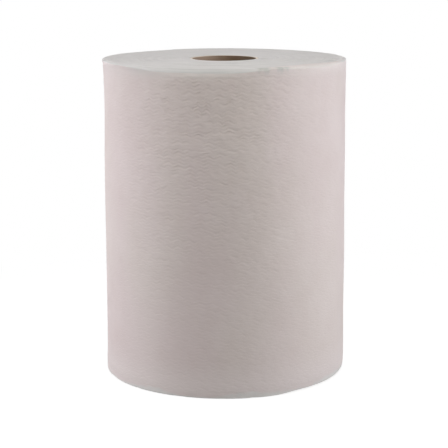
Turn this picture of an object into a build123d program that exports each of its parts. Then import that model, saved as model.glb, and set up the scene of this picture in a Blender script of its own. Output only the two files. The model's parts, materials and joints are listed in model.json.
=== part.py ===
from build123d import *

import os
from math import atan, cos, degrees, radians, sin

# A hardwound paper towel roll that stands on one end: one long web of embossed towel wound
# tight on a cardboard core. Sizes are in millimetres. +Z runs up the roll's axis, and the
# origin is the centre of the lower end.

# The wound web
web_width = 254.0  # height of the standing roll
roll_diameter = 196.0  # over the rims, where the roll is widest
rim_chamfer = 1.3  # soft corner where the web's edges meet the outside
waist_depth = 0.8  # how far the outside pulls in between the rims
top_swell_height = 34.0  # the outside swells to the top rim over this height
base_swell_height = 12.0  # and to the lower rim over this one

# The core
core_bore_diameter = 50.8  # takes a dispenser's hubs or a spindle
core_wall = 2.0  # several plies of board
core_inset = 0.6  # the core stops this far inside each end of the web
winding_clearance = 0.05  # between the core and the first turn

# The turns, seen on both ends as one spiral line. The web is far too thin to draw every
# turn, so each turn of the line stands for a few dozen of them.
turn_pitch = 7.0
turn_line_width = 0.8
turn_line_depth = 0.4
core_land = 3.6  # plain band beside the core
rim_land = 3.6  # plain band beside the rim

# The web's loose end, which lifts off the last turn on the roll's far side
tail_lift = 0.9  # at the cut edge
tail_run = 42.0  # how far back along the outside it has come loose
tail_edge_angle = 137.0  # where the cut edge stands, counted from +X
tail_root = 4.0  # how deep the loose end's section reaches into the roll

# Overrun of a cutting section past the face that it opens
cut_overrun = 0.5

roll_radius = roll_diameter / 2
waist_radius = roll_radius - waist_depth
core_bore_radius = core_bore_diameter / 2
core_radius = core_bore_radius + core_wall
wound_bore_radius = core_radius + winding_clearance


def swell(start, height, outward):
    """Two equal arcs that carry the roll's outside up by height and across by waist_depth.
    They start and end upright. outward is 1 from waist to rim and -1 from rim to waist."""
    bend_angle = 2 * atan(waist_depth / height)
    bend_radius = height / (2 * sin(bend_angle))
    lower = JernArc(start, (0, 1), bend_radius, -outward * degrees(bend_angle))
    JernArc(lower @ 1, lower % 1, bend_radius, outward * degrees(bend_angle))


def wound_section(plane, inner_radius, shift):
    """Half of the roll's section on this plane, from inner_radius out to the side of the
    roll, with every radius shift larger than it is on the roll's own axis."""
    rim = roll_radius + shift
    waist = waist_radius + shift
    inner = inner_radius + shift
    end_rim = rim - rim_chamfer
    base_waist = rim_chamfer + base_swell_height
    top_rim = web_width - rim_chamfer
    top_waist = top_rim - top_swell_height
    with BuildSketch(plane) as section:
        with BuildLine():
            Polyline((inner, 0), (end_rim, 0), (rim, rim_chamfer))
            swell((rim, rim_chamfer), base_swell_height, -1)
            Line((waist, base_waist), (waist, top_waist))
            swell((waist, top_waist), top_swell_height, 1)
            Polyline((rim, top_rim), (end_rim, web_width), (inner, web_width), (inner, 0))
        make_face()
    return section.sketch


def turn_line_section(plane, radius, into):
    """The V of the spiral line at this radius on this plane, whose origin is on an end of
    the roll. The V's point lies on the side that into, 1 or -1, gives."""
    with BuildSketch(plane) as section:
        with BuildLine():
            Polyline(
                (radius - turn_line_width / 2, -into * cut_overrun),
                (radius - turn_line_width / 2, 0),
                (radius, into * turn_line_depth),
                (radius + turn_line_width / 2, 0),
                (radius + turn_line_width / 2, -into * cut_overrun),
                close=True,
            )
        make_face()
    return section.sketch


# Each half turn of the spiral line is a half circle. Its centre lies a quarter of the pitch
# to one side of the roll's axis, and the next one as far to the other side, so that the
# half circles join without a corner and the line moves out by one pitch in a full turn.
first_turn_radius = wound_bore_radius + core_land
last_turn_radius = roll_radius - rim_chamfer - rim_land
turn_count = int((last_turn_radius - first_turn_radius) / turn_pitch)

# The loose end turns about an axis of its own, set back so far that its outside leaves the
# roll's outside smoothly and stands tail_lift away from it at the cut edge.
tail_angle = degrees(tail_run / roll_radius)
lifted_radius = roll_radius + tail_lift
tail_shift = (lifted_radius**2 - roll_radius**2) / (
    2 * (roll_radius - lifted_radius * cos(radians(tail_angle)))
)
tail_start = radians(tail_edge_angle - tail_angle)
tail_direction = Vector(cos(tail_start), sin(tail_start), 0)
tail_axis = Axis(tail_direction * -tail_shift, (0, 0, 1))
tail_plane = Plane(
    origin=tail_axis.position, x_dir=tail_direction, z_dir=tail_direction.cross(Vector(0, 0, 1))
)
tail_turn = degrees(radians(tail_angle) * roll_radius / (roll_radius + tail_shift))

with BuildPart() as paper_roll:
    revolve(wound_section(Plane.XZ, wound_bore_radius, 0), axis=Axis.Z)

    tail_section = wound_section(tail_plane, roll_radius - tail_root, tail_shift)
    revolve(tail_section, axis=tail_axis, revolution_arc=tail_turn)

    for end_height, into in ((0, 1), (web_width, -1)):
        for half_turn in range(2 * turn_count):
            outward = 1 if half_turn % 2 == 0 else -1
            centre = Vector(-outward * turn_pitch / 4, 0, end_height)
            half_turn_radius = first_turn_radius + turn_pitch / 4 + half_turn * turn_pitch / 2
            cut_plane = Plane(origin=centre, x_dir=(outward, 0, 0), z_dir=(0, -outward, 0))
            cut_section = turn_line_section(cut_plane, half_turn_radius, into)
            cut_axis = Axis(centre, (0, 0, 1))
            revolve(cut_section, axis=cut_axis, revolution_arc=180, mode=Mode.SUBTRACT)

with BuildPart() as core_tube:
    with BuildSketch(Plane.XY.offset(core_inset)):
        Circle(core_radius)
        Circle(core_bore_radius, mode=Mode.SUBTRACT)
    extrude(amount=web_width - 2 * core_inset)

os.makedirs("parts", exist_ok=True)
paper_roll.part.label = "paper_roll"
export_step(paper_roll.part, "parts/paper_roll.step")
core_tube.part.label = "core_tube"
export_step(core_tube.part, "parts/core_tube.step")
print(f"{turn_count} turns drawn on each end, tail axis set back by {tail_shift:.2f} mm")
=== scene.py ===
# %% [markdown]
# # A hard wound paper towel roll
#
# The real thing is one long web of embossed towel, wound tight on a cardboard tube. The CAD
# model gives its sizes and its two pieces, the wound web and the core. This lesson dresses
# them: it rebuilds the web with its turns, its emboss and its loose end, and the core with
# its board plies, and then lights them softly on a white floor.
#
# Everything is in metres, in the CAD model's own frame: the roll stands on z = 0, its axis
# is Z, and the camera looks along +Y. Angles round the roll are counted from +X, so the side
# that the camera sees is at -90 degrees.

# %% Load the fixed frame
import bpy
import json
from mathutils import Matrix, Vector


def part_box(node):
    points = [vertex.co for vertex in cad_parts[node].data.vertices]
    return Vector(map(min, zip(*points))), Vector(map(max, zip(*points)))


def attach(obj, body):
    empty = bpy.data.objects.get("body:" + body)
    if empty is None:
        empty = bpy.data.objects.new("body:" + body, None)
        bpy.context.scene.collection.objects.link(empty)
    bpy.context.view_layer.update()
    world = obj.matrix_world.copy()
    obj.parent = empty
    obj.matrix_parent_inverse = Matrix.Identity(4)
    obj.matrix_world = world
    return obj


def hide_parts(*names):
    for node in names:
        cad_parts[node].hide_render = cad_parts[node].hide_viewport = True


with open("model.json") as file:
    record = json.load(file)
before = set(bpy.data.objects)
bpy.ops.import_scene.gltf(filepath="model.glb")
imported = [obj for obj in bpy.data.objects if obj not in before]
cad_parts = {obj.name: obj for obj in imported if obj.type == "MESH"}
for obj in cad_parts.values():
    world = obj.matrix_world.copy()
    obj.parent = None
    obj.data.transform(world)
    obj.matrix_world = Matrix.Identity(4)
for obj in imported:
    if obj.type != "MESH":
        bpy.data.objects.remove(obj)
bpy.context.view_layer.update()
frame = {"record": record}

# %% [markdown]
# ## Sizes from the frame
#
# A new piece goes where the CAD says, so every size starts from a node's box or from a
# mount in the record. The web's box gives its height and its radius over the rims. The
# core's box gives the core, and its bore is the mount that a dispenser's hub goes into.

# %% Read the roll's sizes
import json
import math

import bpy
import numpy as np

MM = 0.001

web_low, web_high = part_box("paper_roll")
core_low, core_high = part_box("core_tube")
mounts = {mount["name"]: mount for mount in frame["record"]["mounts"]}

web_height = web_high.z - web_low.z
rim_radius = web_high.x
core_radius = core_high.x
bore_radius = mounts["core_bore"]["dims"]["r_mm"] * MM
print(f"web {web_height:.4f} tall, {rim_radius:.4f} in radius, core {core_radius:.4f}")

# %% [markdown]
# ## Unevenness that is the same each time
#
# Paper never repeats itself, but a script has to give the same roll each time. A handful of
# cosine waves with seeded phases does both: the sum is smooth, it can be asked for any
# point, and with whole numbers of waves it closes on itself round the roll. Blender's own
# noise textures would do for a bump, but here the shape itself has to follow them.
#
# From here on, an unevenness is kept as a named row of numbers, in the order in which its
# function takes them.

# %% Smooth unevenness along the web and over the roll
wave_share = 0.9


def smooth(value):
    """A soft step from 0 to 1."""
    value = np.clip(value, 0, 1)
    return value * value * (3 - 2 * value)


def along_web(turns, seed, size, slowest, fastest, count=14):
    """Uneven, about -size to size, along the spiral. slowest and fastest are waves a turn."""
    pick = np.random.default_rng(seed)
    waves = pick.uniform(slowest, fastest, count)
    phases = pick.uniform(0, 2 * math.pi, count)
    total = np.zeros_like(turns, dtype=float)
    for wave, phase in zip(waves, phases):
        total += np.cos(2 * math.pi * wave * turns + phase)
    return size * (total / math.sqrt(count) * wave_share)


def over_roll(angle, height, size, seed, around, up, count=18):
    """Uneven, about -size to size, over the outside. around is the most waves round the
    roll and up the most waves in the roll's height."""
    pick = np.random.default_rng(seed)
    total = np.zeros(np.broadcast(angle, height).shape)
    for _ in range(count):
        turns_round = pick.integers(0, around + 1)
        waves_up = pick.uniform(-up, up)
        phase = pick.uniform(0, 2 * math.pi)
        climb = 2 * math.pi * waves_up * height / web_height
        total += np.cos(turns_round * angle + climb + phase)
    return size * (total / math.sqrt(count) * wave_share)


slow_bulges = (0.1 * MM, 21, 5, 2.2)
bulges = over_roll(np.radians([0, 90, 180, 270, 360]), web_height / 2, *slow_bulges) / MM
print("bulges at each quarter turn, the last as the first:", np.round(bulges, 3))

# %% [markdown]
# ## The turns as one spiral
#
# A towel roll has some four hundred turns, each a third of a millimetre thick. That is too
# many to model, so the ends are drawn with fewer, thicker turns, and the material adds the
# fine lines. The turns are still one spiral, as on the real roll: a point on the web is
# given by how many turns it lies out from the core. The turns are thin beside the core and
# at the outside, so that the spiral starts and ends with a small step.

# %% Where each drawn turn lies
inner_turns = 48
outer_turns = 3
last_turn = inner_turns + outer_turns
first_thicknesses = [0.30, 0.45, 0.70]
last_thicknesses = [0.75, 0.50, 0.36]
thickness_range = (0.84, 1.16)
thickness_seed = 5
seam_angle = math.radians(137)
core_gap = 0.05 * MM
proud_of_rim = 0.24 * MM

pick = np.random.default_rng(thickness_seed)
thickness = pick.uniform(*thickness_range, last_turn + 1)
thickness[: len(first_thicknesses)] = first_thicknesses
thickness[-len(last_thicknesses) :] = last_thicknesses
wound_radii = np.concatenate([[0], np.cumsum(thickness)])
first_radius = core_radius + core_gap
last_radius = rim_radius + proud_of_rim
wound_radii = first_radius + wound_radii / wound_radii[-1] * (last_radius - first_radius)


def wound_radius(turns):
    """The spiral's radius this many turns out from the core."""
    return np.interp(turns, np.arange(len(wound_radii)), wound_radii)


last_step = (wound_radii[-1] - wound_radii[-2]) / MM
print(f"{last_turn} turns drawn, the last {last_step:.2f} mm thick")

# %% [markdown]
# ## Knocks in the rims
#
# A roll is soft paper, and its rims are the first thing to touch a shelf or another roll.
# Each rim has a couple of dozen small knocks, and the top one has three deeper nicks in
# front. They could be sculpted by hand. Bell curves round the rim are easier to place and
# to repeat: each has an angle, a width and a depth.

# %% Angles, knocks and nicks
dent_count = 22
dent_width = 2.2 * MM
dent_spreads = (0.015, 0.05)  # radians
dent_shares = (0.2, 1)
deepest_dent = 1.2
nick_width = 1.5 * dent_width
nicks = [(-71.0, 1.3, 0.8 * MM), (-61.5, 1.5, 0.6 * MM), (-58.5, 1.4, 0.8 * MM)]


def side_share(angle, facing, sharpness):
    """1 on the side that faces this way, in degrees, and 0 on the opposite one."""
    return (0.5 + 0.5 * np.cos(angle - math.radians(facing))) ** sharpness


def angle_from(angle, facing):
    """The angle on from this direction, which is in degrees. It is from -pi to pi."""
    return (angle - math.radians(facing) + math.pi) % (2 * math.pi) - math.pi


def bell(angle, facing, spread, power=2):
    """1 in this direction and almost 0 at twice the spread, both in degrees. A higher power
    makes it flatter in the middle and steeper beside it."""
    away = np.abs(angle_from(angle, facing)) / math.radians(spread)
    return np.exp(-(away**power))


def rim_share(radius, width):
    """1 at the rim, falling to 0 at this distance inside it."""
    return np.clip(1 - (rim_radius - radius) / width, 0, 1)


def rim_dents(angle, seed):
    """Small knocks along the rim, from 0 to about 1."""
    pick = np.random.default_rng(seed)
    total = np.zeros_like(angle)
    for place in pick.uniform(0, 2 * math.pi, dent_count):
        spread = pick.uniform(*dent_spreads)
        depth = pick.uniform(*dent_shares)
        total += depth * bell(angle, math.degrees(place), math.degrees(spread))
    return np.minimum(total, deepest_dent)


def rim_nicks(angle, radius):
    """The deeper nicks. Each has its place and half its width in degrees, and its depth."""
    total = sum(depth * bell(angle, facing, spread) for facing, spread, depth in nicks)
    return total * rim_share(radius, nick_width)


print(f"{dent_count} knocks on each rim and {len(nicks)} nicks in the top one")

# %% [markdown]
# ## The worn stretches of the top rim
#
# Where hands and shelves have rubbed the top rim, its turns are bent over and the corner
# has become a soft round. A bevel would round the whole rim alike, so the round is a shape
# of its own: a quarter of an ellipse, taller than it is wide, that each stretch takes by
# its own amount and that fades out round the rim. Each stretch has its middle and half its
# width in degrees, and how worn it is.

# %% How round the top rim is
soft_width = 5.2 * MM
soft_height = 11.5 * MM
soft_corner = math.radians(48)
soft_tuck_width = 2.5 * soft_width
soft_stretches = [(-103, 24, 1.0), (-40, 16, 0.2), (48, 24, 0.3), (133, 13, 0.22)]
soft_flatness = 3
quarter_end = 0.995
worn_from = 0.1


def rim_softness(angle):
    """0 where the top rim is still crisp, up to 1 where its turns are worn round."""
    return sum(
        amount * bell(angle, facing, spread, soft_flatness)
        for facing, spread, amount in soft_stretches
    )


def quarter_drop(share):
    """How far a quarter round has fallen, from 0 to 1, this share of the way along."""
    return 1 - np.sqrt(1 - np.clip(share, 0, quarter_end) ** 2)


def soft_tuck(angle, radius):
    """How far the worn stretches of the top rim are pushed in at this radius."""
    deepest = soft_width * (1 - math.cos(soft_corner))
    return rim_softness(angle) * deepest * rim_share(radius, soft_tuck_width) ** 2


round_angle = np.radians(np.arange(360))
worn_share = (rim_softness(round_angle) > worn_from).mean()
print(f"{100 * worn_share:.0f} % of the top rim is worn")

# %% [markdown]
# ## The lower rim and the kept corners
#
# The roll stands on its lower end, so the turns are pressed level there, except on one side,
# where the last of them have crept up off the floor. A bell curve would rise too gently for
# that, so it is one step up and one down. Elsewhere both rims have a small even round, and
# each has kept most of its sharp corner along one stretch in front.

# %% How the lower rim stands, and where the corners are kept
creep_height = 1.15 * MM
creep_width = 12 * MM
creep_from = -66
creep_rise = 12
creep_until = 88
creep_fall = 35
kept_corners = {"top": (-45, 33, 4), "base": (-77, 14, 4)}
kept_shares = {"top": 0.7, "base": 0.95}


def base_creep(angle):
    """0 where the base's last turns stand square, 1 where they have crept up."""
    since = np.degrees(angle_from(angle, creep_from))
    return smooth(since / creep_rise) * smooth((creep_until - since) / creep_fall)


print(f"crept up over {(base_creep(round_angle) > 0.5).sum()} degrees of the lower rim")

# %% [markdown]
# ## The ends' relief
#
# A knife cuts the web to width, and the turns then creep a little along the axis, so each
# turn stands a shade higher or lower than its neighbours. Between two turns there is a
# narrow groove. All of it is one function of the place on the web, so the same code serves
# both ends. A bump in the material would be cheaper, but the light rakes across the end
# and the rims show their outline, so the relief is real.

# %% How far a point of the web's edge stands above its end plane
rim_round = 1.3 * MM
round_share = 0.62
round_end = 0.97
dent_depth = 0.45 * MM
groove_depth = 0.20 * MM
groove_change = (0.10 * MM, 0.1, 1.5)
turn_creep = (0.11 * MM, 0.15, 2.6)
turn_settling = (0.10 * MM, 0.02, 0.2)
end_seeds = {"top": 41, "base": 61}


def end_relief(turns, row, angle, radius, end):
    """The height over the end plane. Row 0 is the groove between turns, 1 and 2 the turn."""
    seed = end_seeds[end]
    creep = along_web(turns, seed, *turn_creep)
    settle = along_web(turns, seed + 1, *turn_settling)
    groove = groove_depth + along_web(turns, seed + 2, *groove_change)
    groove = np.where(row == 0, groove, 0.0)
    beyond = np.clip((radius - (rim_radius - rim_round)) / rim_round, 0, round_end)
    shoulder = round_share * rim_round * (1 - np.sqrt(1 - beyond**2))
    shoulder = shoulder * (1 - kept_shares[end] * bell(angle, *kept_corners[end]))
    dents = dent_depth * rim_dents(angle, seed + 3) * rim_share(radius, dent_width)
    if end == "base":
        worn = creep_height * base_creep(angle) * rim_share(radius, creep_width) ** 2
    else:
        share = 1 - (rim_radius - radius + soft_tuck(angle, radius)) / soft_width
        worn = rim_softness(angle) * soft_height * quarter_drop(share)
        worn = worn + rim_nicks(angle, radius)
    return creep + settle - groove - shoulder - dents - worn


middle_turns = np.linspace(10, 12, 100)
heave = along_web(middle_turns, end_seeds["top"], *turn_creep)
print(f"between turns 10 and 12 the top end heaves by {np.ptp(heave) / MM:.2f} mm")

# %% [markdown]
# ## How the rims are pressed in
#
# Each rim is also pushed towards the axis, further on one side than on the other. Such a
# press has a depth, the side that it faces in degrees, and a sharpness that keeps it to
# that side. A negative one lets the rim stand out a little. Where the top rim is worn, it
# gives way as well. A lattice could push the rims in by eye, but these few numbers can be
# read off the photograph's outline.

# %% Where each rim is pressed in
rim_presses = {
    "top": [(0.22 * MM, 110, 3), (0.75 * MM, 0, 2)],
    "base": [(0.22 * MM, 110, 3), (0.9 * MM, 0, 2), (-0.1 * MM, 180, 4)],
}
worn_press = 0.8 * MM


def rim_tuck(angle, end):
    """How far the rim is pressed in towards the roll's axis."""
    total = sum(depth * side_share(angle, *side) for depth, *side in rim_presses[end])
    return total + worn_press * rim_softness(angle) if end == "top" else total


front_tuck = rim_tuck(np.array([-math.pi / 2]), "top")[0] / MM
print(f"in front the top rim is pressed in by {front_tuck:.2f} mm")

# %% [markdown]
# ## Level with the CAD
#
# The relief goes up as well as down, and the roll has to stand exactly on the floor and
# reach exactly its real height. Cutting it off level would shave the highest turns flat. So
# the highest turn of each end is found first, and the whole end is lowered by that much.

# %% Find how high the highest turn of each end would stand
probe_count = 20000
probe_turns = np.linspace(0, last_turn + 1, probe_count)
probe_angles = seam_angle + 2 * math.pi * probe_turns
probe_rows = np.ones(probe_count, int)
relief_top = {
    end: end_relief(probe_turns, probe_rows, probe_angles, wound_radius(probe_turns), end).max()
    for end in ("top", "base")
}
print("highest turns", {end: f"{top / MM:.3f} mm" for end, top in relief_top.items()})

# %% [markdown]
# ## A ring of turns as a plan
#
# The two ends of a ring of turns are strips that follow the spiral: three rows of points to
# a turn, and the next turn's first row closes it. The outer wall then follows the last
# turn's outside, passes under the loose end, and comes back along the loose end's inside,
# so the whole ring is one closed skin. Extruding a spiral curve would be quicker, but its
# turns would be loose sheets. The loose end is the last stretch of the spiral, which has
# points of its own on its inside instead of sharing those of the turn below.

# %% Build the plan of a ring of turns
turn_rows = 3


def ring_plan(first, turns, columns, loose):
    """Points of the web's edge, as (turns out, row, place) for each, with the strip's faces,
    the loop of points round the outside and the loop round the inside. loose is the number
    of columns in the loose end."""
    length = turns * columns
    first_outside = (turns - 1) * columns - loose + 1
    points = []
    index = {}

    def add(step, row, place):
        if step > length - loose:
            place = "loose"
        index[(step, row)] = len(points)
        points.append((first + step / columns, row, place))

    def at(step, row):
        if row == turn_rows and step < first_outside:
            return index[(step + columns, 0)]
        return index[(step, row)]

    for step in range(length + 1):
        for row in range(turn_rows):
            add(step, row, "wound")
    for step in range(first_outside, length + 1):
        add(step, turn_rows, "outside")

    faces = []
    for step in range(length):
        for row in range(turn_rows):
            near = (at(step, row), at(step + 1, row))
            far = (at(step + 1, row + 1), at(step, row + 1))
            faces.append(near + far)
    outside = [at(step, turn_rows) for step in range(length, first_outside - 1, -1)]
    outside += [at(step, 0) for step in range(length - loose, length + 1)]
    outside += [at(length, 1), at(length, 2)]
    inside = [at(step, 0) for step in range(columns + 1)] + [at(0, 2), at(0, 1)]
    return points, faces, outside, inside


print("a plan of 2 turns of 6 columns has", len(ring_plan(0, 2, 6, 2)[0]), "points")

# %% [markdown]
# ## Placing the plan's points
#
# Each point of the plan becomes an angle and a radius. In the loose end the web lifts off
# gently, more and more towards the cut edge, and it thins to one real ply there.

# %% Angle and radius of each point of a plan
groove_places = np.array([0.0, 0.34, 0.78, 1.0])
tail_lift = 0.72 * MM
tail_ply = 0.34 * MM


def place_plan(points, columns, loose):
    """How many turns out each point of the plan is, its row, its angle and its radius."""
    turns = np.array([point[0] for point in points])
    rows = np.array([point[1] for point in points])
    is_loose = np.array([point[2] == "loose" for point in points])
    angle = seam_angle + 2 * math.pi * turns
    low = wound_radius(turns)
    high = wound_radius(turns + 1)
    loose_turns = max(loose, 1) / columns
    along = np.clip((turns - (last_turn - loose_turns)) / loose_turns, 0, 1)
    along = np.where(is_loose, along, 0.0)
    low = low + (high - low - tail_ply) * along
    radius = low + (high - low) * groove_places[rows] + tail_lift * along**2
    return turns, rows, angle, radius


print(f"the loose end stands {tail_lift / MM:.2f} mm off at its edge")

# %% [markdown]
# ## How slack the outside is
#
# The photograph's outline shows how far the sides pull in at each height: the roll is
# widest at its rims, and the two sides differ a little. Two short tables of slack, with
# their corners rounded off, give that outline, and a slow unevenness carries it round the
# roll, so that no view shows a perfect cylinder.

# %% The outside's shape
slack_heights = np.array([0, 4, 8, 14, 30, 60, 100, 140, 180, 210, 228, 240, 248, 254]) * MM
slack_left = [0, 0, 0, 0.45, 0.6, 0.6, 0.65, 0.7, 1.0, 1.5, 1.4, 1.1, 0.85, 0.8]
slack_right = [0.8, 0.6, 0.3, 0.3, 0.4, 0.6, 0.4, 0.8, 0.75, 1.0, 0.95, 0.8, 0.8, 0.85]
rounding_reach = 7
rounding_width = 2.2
rim_band = 2.5 * MM
crown_height = 0.08 * MM
crown_width = 0.6 * MM


def soft_profile(slack):
    """The slack at each millimetre of the roll's height, with its corners rounded off."""
    grid = np.arange(0, web_height + MM, MM)
    steps = np.arange(-rounding_reach, rounding_reach + 1)
    weights = np.exp(-((steps / rounding_width) ** 2) / 2)
    table = np.interp(grid, slack_heights, np.array(slack) * MM)
    padded = np.pad(table, rounding_reach, mode="edge")
    return grid, np.convolve(padded, weights / weights.sum(), mode="valid")


left_profile = soft_profile(slack_left)
right_profile = soft_profile(slack_right)


def outside_offset(angle, height, near_edge):
    """How far the outside lies from the wound turns' radius: in at the waist, and at the
    rims as far as they are tucked. near_edge is the distance to the nearer rim."""
    left = 0.5 - 0.5 * np.cos(angle)
    slack = left * np.interp(height, *left_profile)
    slack = slack + (1 - left) * np.interp(height, *right_profile)
    slack = slack + over_roll(angle, height, *slow_bulges)
    inward = smooth(near_edge / rim_band)
    tuck = np.where(height > web_height / 2, rim_tuck(angle, "top"), rim_tuck(angle, "base"))
    crown = crown_height * (1 - np.exp(-near_edge / crown_width))
    worn = quarter_drop(1 - (web_height - height) / soft_height)
    worn = worn * rim_softness(angle) * soft_width
    return crown - np.maximum(slack, 0) * inward - tuck * (1 - inward) - worn


most_slack = max(left_profile[1].max(), right_profile[1].max())
print(f"the outside pulls in by up to {most_slack / MM:.2f} mm")

# %% [markdown]
# ## The emboss
#
# The towel carries fine zigzag ripples that run round the roll, under three millimetres
# apart, pressed in by an embossing cylinder. Rows of points that follow each ripple give a
# clean ripple from few faces: the rows themselves wave up and down, and only their depth
# changes. It takes three rows to a ripple. With two, a crest and a trough, the smooth
# shading cancels out and the ripple can't be seen.
#
# Winding crushes the ripples in patches, and two sides of the roll, where it has been
# gripped, show them nearly flat. They are firmer near the top than near the base.

# %% The ripples
ripple_pitch = 2.74 * MM
rows_per_ripple = 3
row_depths = np.array([0.0, 1.0, 0.9])
ripple_depth = 0.50 * MM
ripple_fade = 1.6 * MM
wave_height = 1.15 * MM
waves_round = 75
ripple_rows = rows_per_ripple * round(web_height / ripple_pitch)
print(f"{ripple_rows // rows_per_ripple} ripples in {ripple_rows} rows")

# %% How the ripples zigzag
overtone = 3
zigzag_peak = 1.11
zigzag_wander = (1.1, 91, 26, 9, 40)
zigzag_bunching = (0.3 * MM, 95, 14, 15, 30)
usual_reach = 0.95
reach_change = (0.3, 93, 30, 12, 30)
reach_limits = (0.4, 1.3)


def ripple_wave(turns, height):
    """How far the ripples' rows zigzag up and down at this place along the web. A sine and
    its overtone make the zigzag, and together they reach zigzag_peak."""
    angle = 2 * math.pi * turns
    phase = waves_round * angle + over_roll(angle, height, *zigzag_wander)
    zigzag = np.sin(phase) - np.sin(overtone * phase) / overtone**2
    bunching = over_roll(angle, height, *zigzag_bunching)
    reach = np.clip(usual_reach + over_roll(angle, height, *reach_change), *reach_limits)
    return wave_height * (zigzag / zigzag_peak) * reach + bunching


print(f"{waves_round} zigzags round the roll, {wave_height / MM:.2f} mm up and down")

# %% How deep the ripples are pressed
usual_press = 0.48
crushed_patches = (0.8, 33, 100, 55, 160)
most_pressed = 1.35
coarse_crinkle = (0.13 * MM, 37, 26, 18, 60)
gripped_turn = 0.12
gripped_share = 0.12
gripped_narrowness = 4
base_firmness = 0.40
firmer_above = 60 * MM
firmer_over = 180 * MM


def ripple_press(row, angle, height, near_edge):
    """How deep the emboss presses a point of this row in."""
    patchy = usual_press + over_roll(angle, height, *crushed_patches)
    patchy = np.clip(patchy, 0, most_pressed)
    crinkle = over_roll(angle, height, *coarse_crinkle)
    ungripped = np.abs(np.sin(angle + gripped_turn)) ** gripped_narrowness
    kept = gripped_share + (1 - gripped_share) * ungripped
    firm = smooth((height - firmer_above) / firmer_over)
    firm = base_firmness + (1 - base_firmness) * firm
    pressed = ripple_depth * patchy * row_depths[row % rows_per_ripple]
    return (pressed + crinkle) * kept * firm * smooth(near_edge / ripple_fade)


print(f"a ripple is up to {most_pressed * ripple_depth / MM:.2f} mm deep")

# %% [markdown]
# ## The edges and the wall of a ring
#
# Both ends come from the same plan: the relief sets each point's height, and the tuck moves
# it in. The wall then goes up from the lower rim to the top one in rows. A row's height is
# shared out between the rims at that place, so the rows bend with a worn rim instead of
# standing out over it.

# %% The points of the ends and of the wall
free_of_rim = 7 * MM
tuck_falloff = 3


def end_points(turns, rows, angle, radius, end):
    """The points of one end of a ring."""
    relief = end_relief(turns, rows % turn_rows, angle, radius, end) - relief_top[end]
    tucked = radius - rim_tuck(angle, end) * (radius / rim_radius) ** tuck_falloff
    height = -relief
    if end == "top":
        tucked = tucked - soft_tuck(angle, radius)
        height = web_height + relief
    return np.stack([tucked * np.cos(angle), tucked * np.sin(angle), height], 1)


def wall_row(row, turns, angle, radius, low, high):
    """The points of one row of the embossed wall, between the rims at low and high."""
    height = low + (high - low) * row / ripple_rows
    free = smooth(np.minimum(height - low, high - height) / free_of_rim)
    height = height + ripple_wave(turns, height) * free
    near_edge = np.minimum(height - low, high - height)
    wall = radius + outside_offset(angle, height, near_edge)
    wall = wall - ripple_press(row, angle, height, near_edge)
    return np.stack([wall * np.cos(angle), wall * np.sin(angle), height], 1)


print(f"the rows zigzag from {free_of_rim / MM:.0f} mm inside each rim")

# %% [markdown]
# ## The skin of a ring
#
# Now the parts join into one closed skin: two ends, the outer wall between their outer
# loops, and the plain wall between their inner loops. Each face also gets a number that
# says which finish it takes. Only the outer ring's wall is embossed. The inner ring's wall
# is hidden behind it, so it needs no rows.

# %% Turn a plan into a closed skin
WALL = 0
CUT = 1


def band(lower, upper):
    """Faces between two loops of points."""
    return np.stack([lower, upper, np.roll(upper, -1), np.roll(lower, -1)], 1)


def ring_skin(first, turns, columns, loose, shrink, embossed):
    """Vertices, faces and the faces' finish, WALL or CUT, of a ring of turns."""
    points, strip, outside, inside = ring_plan(first, turns, columns, loose)
    turn, rows, angle, radius = place_plan(points, columns, loose)
    radius = radius - shrink
    count = len(points)
    top = end_points(turn, rows, angle, radius, "top")
    base = end_points(turn, rows, angle, radius, "base")
    vertices = [top, base]
    faces = [np.array(strip), np.array(strip)[:, ::-1] + count]
    finish = [np.full(2 * len(strip), CUT)]

    loop = np.array(outside)
    rings = [loop + count]
    for row in range(1, ripple_rows if embossed else 1):
        rings.append(np.arange(len(loop)) + sum(len(part) for part in vertices))
        places = (turn[loop], angle[loop], radius[loop], base[loop, 2], top[loop, 2])
        vertices.append(wall_row(row, *places))
    rings.append(loop)
    for lower, upper in zip(rings[:-1], rings[1:]):
        faces.append(band(lower, upper))
        finish.append(np.full(len(loop), WALL))

    loop = np.array(inside)
    faces.append(band(loop, loop + count))
    finish.append(np.full(len(loop), CUT))
    return np.concatenate(vertices), np.concatenate(faces), np.concatenate(finish)


print("finishes: WALL", WALL, "and CUT", CUT)

# %% [markdown]
# ## From arrays to a Blender mesh
#
# Blender takes vertices and faces as plain lists. Validating the mesh removes anything
# degenerate, and smooth shading with the edges above an angle kept sharp makes the ripples
# soft and the cut edges crisp.

# %% Make a mesh object
sharp_angle = math.radians(50)


def add_object(name, data):
    """An object of this mesh, lamp or camera in the scene."""
    made = bpy.data.objects.new(name, data)
    bpy.context.scene.collection.objects.link(made)
    return made


def make_piece(name, skin, materials):
    """A mesh object of this skin, each face with the material that its finish gives."""
    vertices, faces, finish = skin
    mesh = bpy.data.meshes.new(name)
    mesh.from_pydata(vertices.tolist(), [], faces.tolist())
    for material in materials:
        mesh.materials.append(material)
    mesh.polygons.foreach_set("material_index", finish.astype(np.int32))
    mesh.validate()
    mesh.shade_smooth()
    mesh.set_sharp_from_angle(angle=sharp_angle)
    triangles = sum(len(polygon.vertices) - 2 for polygon in mesh.polygons)
    print(f"{name}: {len(mesh.vertices)} points, {triangles} triangles")
    return add_object(name, mesh)


print(f"edges above {math.degrees(sharp_angle):.0f} degrees stay sharp")

# %% [markdown]
# ## A small kit for node materials
#
# A material in Blender is a graph of nodes. Building one in code means making each node,
# setting its inputs and linking it on, which takes many lines. This kit makes each of
# those one call, so that a material below reads as a recipe.

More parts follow.
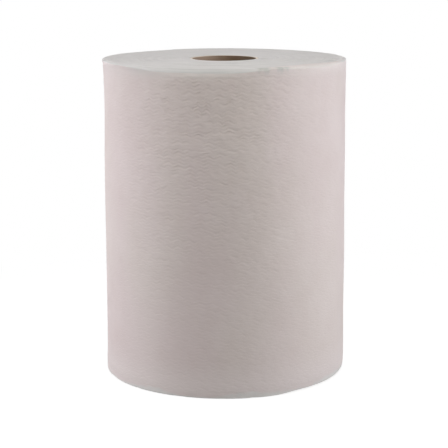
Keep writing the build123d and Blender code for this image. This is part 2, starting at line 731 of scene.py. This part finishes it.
# %% Materials and nodes
def set_inputs(material, node, **inputs):
    """Fill a node's inputs. An input is named, or numbered as _0, _1 and so on, and its
    value is a number, a colour or another node's socket, which is linked on."""
    for key, value in inputs.items():
        place = int(key[1:]) if key.startswith("_") else key.replace("_", " ")
        if isinstance(value, bpy.types.NodeSocket):
            material.node_tree.links.new(value, node.inputs[place])
        else:
            node.inputs[place].default_value = value


def add_node(material, kind, settings=None, **inputs):
    """A node of this kind with its settings and inputs."""
    node = material.node_tree.nodes.new(kind)
    for key, value in (settings or {}).items():
        setattr(node, key, value)
    set_inputs(material, node, **inputs)
    return node


def new_material(name, roughness, gloss):
    """A material with only a Principled shader, and that shader."""
    material = bpy.data.materials.new(name)
    material.use_nodes = True
    nodes = material.node_tree.nodes
    nodes.clear()
    output = nodes.new("ShaderNodeOutputMaterial")
    shader = nodes.new("ShaderNodeBsdfPrincipled")
    set_inputs(material, shader, Roughness=roughness, Specular_IOR_Level=gloss)
    set_inputs(material, output, Surface=shader.outputs["BSDF"])
    return material, shader


print("kit: set_inputs, add_node, new_material")

# %% [markdown]
# ## Nodes that several finishes share
#
# Paper and board both need the same few things: a place on the object, a noise, a weighted
# sum, a soft step, a mix of two colours, and a bump. The place is always the object's own
# coordinates, in metres, so a noise keeps its real scale and stays put in every view.
#
# Each finish then keeps its noises and its soft steps as named rows of numbers. A noise has
# a scale, and may have a detail, a roughness and a stretch. A step has a start and a stop,
# and may have the two values that it goes between.

# %% Shared nodes
def place_of(material):
    """The point's own place on the object."""
    return add_node(material, "ShaderNodeTexCoord").outputs["Object"]


def split(material, place):
    """The place's X, Y and Z."""
    return add_node(material, "ShaderNodeSeparateXYZ", Vector=place).outputs


def noise(material, place, scale, detail=2.0, roughness=0.5, stretch=(1, 1, 1)):
    """A noise between 0 and 1. stretch scales its coordinates along X, Y and Z."""
    if stretch != (1, 1, 1):
        mapping = add_node(material, "ShaderNodeMapping", Vector=place, Scale=stretch)
        place = mapping.outputs[0]
    return add_node(
        material, "ShaderNodeTexNoise",
        Vector=place, Scale=scale, Detail=detail, Roughness=roughness,
    ).outputs["Fac"]


def weigh(material, value, factor, plus=0.0):
    """value times factor plus another value or number."""
    return add_node(
        material, "ShaderNodeMath", {"operation": "MULTIPLY_ADD"}, _0=value, _1=factor, _2=plus
    ).outputs[0]


def ramp(material, value, start, stop, to_start=0.0, to_stop=1.0):
    """A soft step of value from to_start at start to to_stop at stop."""
    return add_node(
        material, "ShaderNodeMapRange", {"interpolation_type": "SMOOTHSTEP"},
        Value=value, From_Min=start, From_Max=stop, To_Min=to_start, To_Max=to_stop,
    ).outputs["Result"]


def blend(material, share, first, second):
    """A colour between two colours or sockets."""
    return add_node(
        material, "ShaderNodeMix", {"data_type": "RGBA"}, Factor=share, _6=first, _7=second
    ).outputs[2]


def add_bump(material, shader, height, strength, distance):
    """Fine relief for the shading. distance is its depth."""
    bump = add_node(
        material, "ShaderNodeBump", Strength=strength, Distance=distance, Height=height
    )
    set_inputs(material, shader, Normal=bump.outputs[0])


print("shared nodes: place_of, split, noise, weigh, ramp, blend, add_bump")

# %% [markdown]
# ## Marks of use, painted light and painted shadows
#
# A handled roll isn't the same all round. On one side its last turns lean out and show some of
# their face, so the end is pinker beyond a chord there, and on that side the top of the face is
# lighter with painted light. On another the corner is worn and its ply edges show. The top rim
# also has two small grey painted shadows of its nicks, each of two spots that run together.
# They could be painted on an image, but a place worked out in the material stays sharp: a side
# is a sum of X and Y, and a painted shadow is a distance from its middle.

# %% The marked sides and the painted nick shadows
leaning_and_painted_light_facing = math.radians(-47)
worn_facing = math.radians(-110)
# Painted shadow: the grey of the shadows that the top rim's nicks cast.
painted_nick_shadow_grey = (0.60, 0.60, 0.585, 1)
painted_nick_shadow_radius = rim_radius - 2.2 * MM
painted_nick_shadow_raggedness = (260.0,)
ragged_reach = 5 * MM
smudges = [(-74.0, 4.6 * MM), (-71.2, 5.6 * MM), (-64.5, 5.6 * MM), (-61.3, 4.4 * MM)]


def towards(material, place, facing):
    """How far the point lies from the axis towards this side."""
    x, y, _ = split(material, place)
    return weigh(material, x, math.cos(facing), weigh(material, y, math.sin(facing)))


def ragged_shift(material, place, grain):
    """An uneven distance, up to half of ragged_reach either way, that frays a boundary."""
    return weigh(material, noise(material, place, *grain), ragged_reach, -ragged_reach / 2)


def with_painted_nick_shadows(material, place, colour):
    """The colour with the painted shadows of the top rim's nicks. Each has its place in degrees
    and its reach.
    """
    shift = ragged_shift(material, place, painted_nick_shadow_raggedness)
    for facing, reach in smudges:
        x = painted_nick_shadow_radius * math.cos(math.radians(facing))
        y = painted_nick_shadow_radius * math.sin(math.radians(facing))
        middle = (x, y, web_height)
        distance = add_node(
            material, "ShaderNodeVectorMath", {"operation": "DISTANCE"}, _0=place, _1=middle
        )
        distance = weigh(material, distance.outputs["Value"], 1.0, shift)
        colour = blend(material, ramp(material, distance, reach, 0.0), colour, painted_nick_shadow_grey)
    return colour


print(f"smudges at {[facing for facing, reach in smudges]} degrees")

# %% [markdown]
# ## The towel's face
#
# The towel is uncoated and creped: quite rough, without any gloss, a warm off-white. Its colour
# varies a little from place to place with the pulp, so four near tints are mixed by two noises,
# one in large patches and one fine. Where the top rim is worn, the bare ply edges show and are
# neutral, with an uneven boundary. On one side the top of the face is lighter with painted
# light, and the top rim carries the nicks' painted shadows. Towards the base the face grows
# paler with painted light from the floor, and along the lower rim a lighter neutral band of
# painted light lies in patches.
#
# Light sinks into paper and comes out beside where it went in. That softens the worn top
# rim, so part of the light is scattered below the surface there. The finest crinkles are
# too small for the mesh, so they are a bump.

# %% The paper's colours
paper_light = ((0.780, 0.688, 0.686, 1), (0.774, 0.695, 0.678, 1))
paper_dark = ((0.750, 0.652, 0.648, 1), (0.744, 0.660, 0.640, 1))
top_ply = (0.705, 0.700, 0.685, 1)
# Painted light: a lighter tint for the top of the face on one side.
painted_light_top = (0.850, 0.775, 0.765, 1)
# Painted light from the floor: a paler tint towards the base and a lighter neutral band along
# the lower rim.
painted_light_base = (0.812, 0.735, 0.730, 1)
painted_light_base_band = (0.800, 0.787, 0.780, 1)
print("paper tints from", paper_dark[1][:3], "to", paper_light[0][:3])

# %% The pulp's tints
tint_patches = (16.0, 2.0, 0.5, (1.0, 1.0, 0.45))
tint_step = (0.35, 0.65)
fine_pulp = (95.0, 3.0)
fine_pulp_share = 0.5
broad_pulp = 22.0
pulp_step = (0.45, 1.05)


def paper_colour(material, place):
    """The four tints of the pulp, each pair a pinker and a yellower one."""
    yellower = ramp(material, noise(material, place, *tint_patches), *tint_step)
    light = blend(material, yellower, *paper_light)
    dark = blend(material, yellower, *paper_dark)
    fine = noise(material, place, *fine_pulp)
    pulp = weigh(material, fine, fine_pulp_share, noise(material, place, broad_pulp))
    return blend(material, ramp(material, pulp, *pulp_step), dark, light)


print(f"the tints' patches are about {1 / tint_patches[0] / MM:.0f} mm across")

# %% The rims' tints and painted light
rim_raggedness = (130.0, 3.0)
top_edge_step = (web_height - 11 * MM, web_height - 1 * MM, 0.0, 0.6)
# Where painted light lightens the top of the face on one side.
painted_light_top_step = (70 * MM, 86 * MM)
worn_corner_step = (82 * MM, 91 * MM)
# Where painted light from the floor lies near the base, and its band along the lower rim.
painted_light_base_step = (34 * MM, 8 * MM, 0.0, 0.8)
painted_light_band_patches = (11.0, 1.0)
painted_light_band_patch_step = (0.40, 0.60)
painted_light_band_reach = -4.5 * MM
painted_light_band_step = (2.0 * MM, -1.0 * MM, 0.0, 0.8)


def rim_colours(material, place, height, paper):
    """The paper's colour, with neutral ply edges at the top, painted light at both rims and
    painted nick shadows.
    """
    shift = ragged_shift(material, place, rim_raggedness)
    ragged = weigh(material, height, 1.0, shift)
    top_edge = ramp(material, ragged, *top_edge_step)
    # Painted light: the top of the face is lightened on one side.
    bare_face_and_painted_light = ramp(material, towards(material, place, leaning_and_painted_light_facing), *painted_light_top_step)
    worn = ramp(material, towards(material, place, worn_facing), *worn_corner_step)
    corner = blend(material, worn, blend(material, bare_face_and_painted_light, paper, painted_light_top), top_ply)
    paper = blend(material, top_edge, paper, corner)
    # Painted shadows of the top rim's nicks.
    paper = with_painted_nick_shadows(material, place, paper)
    # Painted light from the floor: paler towards the base.
    paper = blend(material, ramp(material, ragged, *painted_light_base_step), paper, painted_light_base)
    # Painted light from the floor: a lighter neutral band in patches along the lower rim.
    painted_light_band_edge = ramp(material, noise(material, place, *painted_light_band_patches), *painted_light_band_patch_step)
    painted_light_band_edge = weigh(material, painted_light_band_edge, painted_light_band_reach, ragged)
    return blend(material, ramp(material, painted_light_band_edge, *painted_light_band_step), paper, painted_light_base_band)


print(f"the top's tint starts {(web_height - top_edge_step[0]) / MM:.0f} mm below the rim")

# %% The web's embossed face
soft_light_step = (web_height - 16 * MM, web_height - 1 * MM, 0.0, 0.4)
soft_light_reach = 6.5 * MM
soft_light_colours = (1.0, 1.0, 0.95)
crinkles = (900.0, 2.0, 0.5, (0.3, 0.3, 1.0))
crepe_lines = (2600.0, 2.0, 0.6, (1.0, 1.0, 0.35))
crepe_share = 0.35


def towel_face():
    """Creped towel, softer and more neutral at its rims."""
    material, shader = new_material("towel_face", roughness=0.95, gloss=0.15)
    place = place_of(material)
    height = split(material, place)[2]
    paper = rim_colours(material, place, height, paper_colour(material, place))
    near_top = ramp(material, height, *soft_light_step)
    set_inputs(
        material, shader, Base_Color=paper, Subsurface_Weight=near_top,
        Subsurface_Radius=soft_light_colours, Subsurface_Scale=soft_light_reach,
    )
    crinkle = noise(material, place, *crinkles)
    crepe = noise(material, place, *crepe_lines)
    relief = weigh(material, crepe, crepe_share, crinkle)
    add_bump(material, shader, relief, strength=0.6, distance=0.34 * MM)
    return material


face = towel_face()
print(f"{face.name}: {len(face.node_tree.nodes)} nodes")

# %% [markdown]
# ## The web's cut ends
#
# The cut ends look cooler and greyer than the face, because they show hundreds of bare ply
# edges. The plies are rings, so their noise depends on one number, the distance from the
# axis, and is the same all the way round. Broader bands in it are stretches of the web
# that were wound tighter. Cut fibres give a little fuzz.

# %% Rings of plies
ply_scale = 2600.0
band_scale = 260.0


def ring_noise(material, radius, scale):
    """A noise that is the same all the way round."""
    settings = {"noise_dimensions": "1D"}
    made = add_node(material, "ShaderNodeTexNoise", settings, W=radius, Scale=scale, Detail=2.0)
    return made.outputs["Fac"]


print(f"a ply line about every {1 / ply_scale / MM:.2f} mm")

# %% Bare ply edges
cut_dark = (0.696, 0.685, 0.686, 1)
cut_light = (0.757, 0.744, 0.745, 1)
end_bare = (0.778, 0.727, 0.717, 1)
cut_mottle = (60.0, 3.0)
ply_share = 0.8
cut_step = (0.9, 1.9)
chord_scale = 80.0
chord_raggedness = 4 * MM
chord_step = (85 * MM, 89 * MM)
fuzz_scale = 1800.0
fuzz_share = 0.8


def towel_ends():
    """Hundreds of cut ply edges."""
    material, shader = new_material("towel_ends", roughness=0.97, gloss=0.1)
    place = place_of(material)
    x, y, _ = split(material, place)
    square = weigh(material, x, x, weigh(material, y, y))
    radius = add_node(material, "ShaderNodeMath", {"operation": "SQRT"}, _0=square).outputs[0]
    plies = ring_noise(material, radius, ply_scale)
    bands = ring_noise(material, radius, band_scale)
    mottle = weigh(material, noise(material, place, *cut_mottle), 1.0, bands)
    tone = ramp(material, weigh(material, plies, ply_share, mottle), *cut_step)
    colour = blend(material, tone, cut_dark, cut_light)
    leaning = towards(material, place, leaning_and_painted_light_facing)
    leaning = weigh(material, noise(material, place, chord_scale), chord_raggedness, leaning)
    bare_face_and_painted_light = ramp(material, leaning, *chord_step)
    # The painted shadows of the top rim's nicks reach onto the end.
    colour = with_painted_nick_shadows(material, place, blend(material, bare_face_and_painted_light, colour, end_bare))
    set_inputs(material, shader, Base_Color=colour)
    relief = weigh(material, noise(material, place, fuzz_scale), fuzz_share, plies)
    add_bump(material, shader, relief, strength=0.5, distance=0.15 * MM)
    return material


ends = towel_ends()
print(f"{ends.name}: {len(ends.node_tree.nodes)} nodes")

# %% [markdown]
# ## Build the web
#
# The web could be one piece, but its last turns need far more columns than the rest to
# carry the emboss. So it is built as two rings: the outer one has three turns, four columns
# to each zigzag and the loose end, and the inner one has all the other turns. The inner
# ring is smaller by a hair, so the two skins don't lie in the same place.

# %% Build the web in two rings
outer_columns = 4 * waves_round
tail_columns = 16
inner_columns = 156
ring_gap = 0.03 * MM

outer_skin = ring_skin(inner_turns, outer_turns, outer_columns, tail_columns, 0, True)
outer_ring = make_piece("outer_turns", outer_skin, [face, ends])
inner_skin = ring_skin(0, inner_turns, inner_columns, 0, ring_gap, False)
inner_ring = make_piece("inner_turns", inner_skin, [face, ends])

# %% [markdown]
# ## The core
#
# The core is wound from strips of brown board, glued in a helix. Inside, the joint between
# two strips shows as a shallow helical line, and the sawn ends show the plies as rings. A
# tube made by a modifier would be perfectly smooth. Here it is a stack of rings of points,
# up the bore, out over the top plies, down the outside and back in under the lower ones,
# and the bore's rings take the joint as a soft groove.

# %% The core's rings
board_strip = 78 * MM
joint_depth = 0.25 * MM
joint_width = 0.9 * MM
bore_wear = 0.2 * MM
core_columns = 120
core_rows = 170
ply_places = [0.0, 0.06, 0.3, 0.36, 0.64, 0.7, 0.94, 1.0]
ply_drops = [0.25, 0.02, 0.05, 0.16, 0.0, 0.14, 0.03, 0.28]
torn_edge = (30, 1)
torn_depth = 0.05 * MM
torn_seed = 71
torn_spread = 0.1
core_angle = np.arange(core_columns) * 2 * math.pi / core_columns


def core_ring(wall, height):
    """One ring of points. wall and height are one number, or one for each point."""
    height = np.broadcast_to(height, core_angle.shape)
    return np.stack([wall * np.cos(core_angle), wall * np.sin(core_angle), height], 1)


def bore_ring(row):
    """A ring of the bore, with the joint between two strips as a groove."""
    height = core_low.z + (core_high.z - core_low.z) * row / core_rows
    helix = (height / board_strip - core_angle / (2 * math.pi)) % 1
    off_joint = np.minimum(helix, 1 - helix) * board_strip
    wall = bore_radius + joint_depth * np.exp(-((off_joint / joint_width) ** 2))
    if row == 0:
        return core_ring(wall + bore_wear, height + ply_drops[0] * MM)
    if row == core_rows:
        return core_ring(wall + bore_wear, height - ply_drops[0] * MM)
    return core_ring(wall, height)


print(f"{core_rows + 1} rings up the bore, {core_columns} points each")

# %% The core's skin
def core_skin():
    """Vertices, faces and finish, WALL or CUT, of the core tube."""
    rings = [bore_ring(row) for row in range(core_rows + 1)]
    plies = list(zip(ply_places, ply_drops))[1:-1]
    for place, drop in plies:
        wall = bore_radius + place * (core_radius - bore_radius)
        seed = torn_seed + int(100 * place)
        torn = over_roll(core_angle, place * torn_spread, torn_depth, seed, *torn_edge)
        rings.append(core_ring(wall, core_high.z - drop * MM - np.abs(torn)))
    outside = len(rings)
    rings.append(core_ring(core_radius, core_high.z - ply_drops[-1] * MM))
    rings.append(core_ring(core_radius, core_low.z + ply_drops[-1] * MM))
    for place, drop in reversed(plies):
        wall = bore_radius + place * (core_radius - bore_radius)
        rings.append(core_ring(wall, core_low.z + drop * MM))

    column = np.arange(core_columns)
    faces = []
    finish = []
    for ring in range(len(rings)):
        following = (ring + 1) % len(rings)
        faces.append(band(ring * core_columns + column, following * core_columns + column))
        is_wall = ring < core_rows or ring == outside
        finish.append(np.full(core_columns, WALL if is_wall else CUT))
    return np.concatenate(rings), np.concatenate(faces), np.concatenate(finish)


print(f"{len(ply_places)} rings across each sawn end")

# %% [markdown]
# ## Board
#
# The core's board is uncoated and brown, with visible fibres: a fine noise between two browns.
# The bore has painted light on one side, where it is paler, and painted shade on the other,
# where it is darker.
# Its sawn ends are cream, because the saw bares the plies' pale insides. Wall and ends are
# the same recipe with other colours, so one function makes both.

# %% Uncoated board
wall_browns = ((0.22, 0.145, 0.095, 1), (0.33, 0.23, 0.155, 1))
sawn_creams = ((0.80, 0.69, 0.58, 1), (0.92, 0.83, 0.73, 1))
# Painted light and painted shade for the bore: a paler tint for one side and a dark one for the
# other.
painted_light_board = (0.62, 0.47, 0.39, 1)
painted_light_side = (10 * MM, -22 * MM, 0.0, 0.75)
painted_shade_board = (0.12, 0.085, 0.06, 1)
painted_shade_side = (4 * MM, 22 * MM, 0.0, 0.7)
fibre_grain = (4.0, 0.65)
fibre_share = 0.7
board_patches = 70.0
board_step = (0.55, 1.15)


def core_board(name, tints, fibre_scale, with_painted_light_and_shade):
    """Board between two tints. With painted light and shade, one side is paler, the other
    darker.
    """
    material, shader = new_material(name, roughness=0.85, gloss=0.3)
    place = place_of(material)
    fibres = noise(material, place, fibre_scale, *fibre_grain)
    tone = weigh(material, fibres, fibre_share, noise(material, place, board_patches))
    colour = blend(material, ramp(material, tone, *board_step), *tints)
    if with_painted_light_and_shade:
        # Painted light towards -X and painted shade towards +X.
        across = split(material, place)[0]
        colour = blend(material, ramp(material, across, *painted_light_side), colour, painted_light_board)
        colour = blend(material, ramp(material, across, *painted_shade_side), colour, painted_shade_board)
    set_inputs(material, shader, Base_Color=colour)
    add_bump(material, shader, fibres, strength=0.4, distance=0.1 * MM)
    return material


board = core_board("core_board", wall_browns, 900.0, True)
sawn_board = core_board("sawn_board", sawn_creams, 1600.0, False)
core = make_piece("core", core_skin(), [board, sawn_board])

# %% [markdown]
# ## Say what each piece stands for
#
# The CAD pieces stay in the physics, and the new ones stand for them in pictures. Each new
# piece rides on the one body, the CAD node that it replaces is hidden, and a printed line says
# which node that is.

# %% Tie the pieces to the frame
for piece, node, slot in (
    (outer_ring, "paper_roll", "towel_paper"),
    (inner_ring, "paper_roll", "towel_paper"),
    (core, "core_tube", "core_board"),
):
    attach(piece, "root")
    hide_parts(node)
    print(f"{piece.name} stands for {node}")

# %% [markdown]
# ## The floor
#
# The photograph has a plain white ground. The floor is a pale matte sheet that catches the
# roll's soft shadow and sends some light back up to it. What the camera sees of it is
# lifted to white, and further away the shadow fades out, so no horizon shows. That is done
# with the ray's kind and never with more light on the paper.

# %% A white that only shows to the eye
def seen_rays(owner):
    """1 for rays that show the background: from the camera, off gloss or through glass."""
    path = add_node(owner, "ShaderNodeLightPath")
    seen = path.outputs["Is Camera Ray"]
    either = {"operation": "MAXIMUM"}
    for name in ("Is Glossy Ray", "Is Transmission Ray"):
        seen = add_node(owner, "ShaderNodeMath", either, _0=seen, _1=path.outputs[name])
        seen = seen.outputs[0]
    return seen


print("seen_rays tells the background's rays from the light's")

# %% Floor paint
floor_colour = (0.60, 0.60, 0.60, 1)
shadow_paint = (0.30, 0.30, 0.30, 1)
shadow_lift = (0.82, 0.82, 0.82, 1)
white = (1.0, 1.0, 1.0, 1)
shadow_reach = 0.2
plain_from = 0.42


def floor_paint():
    """Matte and pale for the light, and white with a soft shadow for the camera."""
    material, shader = new_material("floor", roughness=1.0, gloss=0.0)
    set_inputs(material, shader, Base_Color=floor_colour)
    shadow = add_node(material, "ShaderNodeBsdfDiffuse", Color=shadow_paint)
    lift = add_node(material, "ShaderNodeEmission", Color=shadow_lift, Strength=1.0)
    near = add_node(material, "ShaderNodeAddShader", _0=shadow.outputs[0], _1=lift.outputs[0])
    plain = add_node(material, "ShaderNodeEmission", Color=white, Strength=1.0)
    length = {"operation": "LENGTH"}
    away = add_node(material, "ShaderNodeVectorMath", length, _0=place_of(material))
    away = ramp(material, away.outputs["Value"], shadow_reach, plain_from)
    ground = add_node(
        material, "ShaderNodeMixShader", _0=away, _1=near.outputs[0], _2=plain.outputs[0]
    )
    seen = seen_rays(material)
    both = add_node(
        material, "ShaderNodeMixShader", _0=seen, _1=shader.outputs[0], _2=ground.outputs[0]
    )
    output = material.node_tree.nodes["Material Output"]
    set_inputs(material, output, Surface=both.outputs[0])
    return material


print(f"the shadow fades out from {shadow_reach} m to {plain_from} m")

# %% Lay the floor
floor_half = 3.0
floor_drop = 0.1 * MM
corners = ((-1, -1), (1, -1), (1, 1), (-1, 1))

floor_mesh = bpy.data.meshes.new("floor")
floor_points = [(x * floor_half, y * floor_half, -floor_drop) for x, y in corners]
floor_mesh.from_pydata(floor_points, [], [(0, 1, 2, 3)])
floor_mesh.materials.append(floor_paint())
floor = add_object("floor", floor_mesh)
print(f"floor {2 * floor_half:.0f} m square")

# %% [markdown]
# ## The world behind
#
# Beyond the floor the camera sees plain white as well. To the object the world is nearly
# dark, a faint even light that keeps the deepest shadows open, so that the lamps alone
# shape it.

# %% World
ambient_strength = 0.05

world = bpy.data.worlds.new("studio")
bpy.context.scene.world = world
world.use_nodes = True
world.node_tree.nodes.clear()
ambient = add_node(world, "ShaderNodeBackground", Color=white, Strength=ambient_strength)
backdrop = add_node(world, "ShaderNodeBackground", Color=white)
seen = seen_rays(world)
choose = add_node(
    world, "ShaderNodeMixShader", _0=seen, _1=ambient.outputs[0], _2=backdrop.outputs[0]
)
add_node(world, "ShaderNodeOutputWorld", Surface=choose.outputs[0])
print(f"world: white to the camera, {ambient_strength} to the object")

# %% [markdown]
# ## Lights
#
# In the photograph the roll is brightest at both sides and darkest a little left of its
# middle, and its end is brighter than its front. Two wide panels low at the sides give the
# first, with a dim one above the left panel. A slightly warm lamp high in front rakes down
# over the emboss and opens the middle. One overhead lights the end, and one behind keeps
# the far side from going dull when the roll is turned. Large lamps give the soft edges that
# a white studio does.

# %% Soft lamps
from mathutils import Vector

roll_middle = Vector((0, 0, web_height / 2))
plain_white = (1.0, 1.0, 1.0)
warm = (1.0, 0.995, 0.91)
rosy = (1.0, 0.96, 0.96)
left_cool = (0.985, 0.985, 1.0)
right_cool = (0.965, 0.98, 1.0)
lamps = (
    # name, azimuth, elevation, distance, width and height, watts, colour
    ("left_panel", -87, 13, 0.65, (0.6, 0.25), 2.42, left_cool),
    ("left_upper", -90, 48, 0.75, (0.6, 0.35), 0.5, plain_white),
    ("right_panel", 78, 12, 0.65, (0.55, 0.25), 2.22, right_cool),
    ("front_upper", 10, 45, 0.75, (0.4, 0.35), 1.5, warm),
    ("overhead", 0, 88, 0.7, (0.5, 0.5), 1.36, rosy),
    ("back_fill", 180, 38, 0.8, (0.5, 0.35), 0.9, plain_white),
)


def soft_lamp(name, azimuth, elevation, distance, size, power, colour):
    """An area lamp that looks at the roll's middle. Azimuth 0 is behind the camera, 90 is
    to the right, and both angles are in degrees."""
    light = bpy.data.lights.new(name, "AREA")
    light.shape = "RECTANGLE"
    light.size = size[0]
    light.size_y = size[1]
    light.energy = power
    light.color = colour
    lamp = add_object(name, light)
    turn = math.radians(azimuth)
    rise = math.radians(elevation)
    level = math.cos(rise)
    away = Vector((math.sin(turn) * level, -math.cos(turn) * level, math.sin(rise)))
    lamp.location = roll_middle + away * distance
    lamp.rotation_euler = (-away).to_track_quat("-Z", "Y").to_euler()
    lamp.visible_camera = False


for lamp in lamps:
    soft_lamp(*lamp)
print(f"{len(lamps)} lamps, {sum(lamp[5] for lamp in lamps):.1f} W together")

# %% [markdown]
# ## Camera
#
# The outline in the photograph fixes the view: the ellipse of the top end, the lower rim
# and the sides' slight taper give a distance of about twelve radii, a long lens and a
# downward tilt of under twelve degrees. The lens is first written in pixels, because that
# is what an outline measures, and then turned into millimetres on the sensor.

# %% Camera
from mathutils import Matrix

camera_distance = 1.1797
camera_height = 0.3541
camera_tilt = 11.32
camera_turn = 0.033
camera_lean = -0.2
lens_pixels = 1469.2
frame_pixels = 448

lens = bpy.data.cameras.new("camera")
lens.sensor_width = 36
lens.lens = lens_pixels * lens.sensor_width / frame_pixels
lens.clip_start = 0.01
lens.clip_end = 20
camera = add_object("camera", lens)
camera.location = (0, -camera_distance, camera_height)
aim = Matrix.Rotation(math.radians(camera_turn), 3, "Z")
aim = aim @ Matrix.Rotation(math.radians(90 - camera_tilt), 3, "X")
aim = aim @ Matrix.Rotation(math.radians(camera_lean), 3, "Z")
camera.rotation_euler = aim.to_euler()
bpy.context.scene.camera = camera
bpy.context.scene.view_settings.view_transform = "Standard"
print(f"lens {lens.lens:.1f} mm, {camera_distance:.2f} m from the axis")
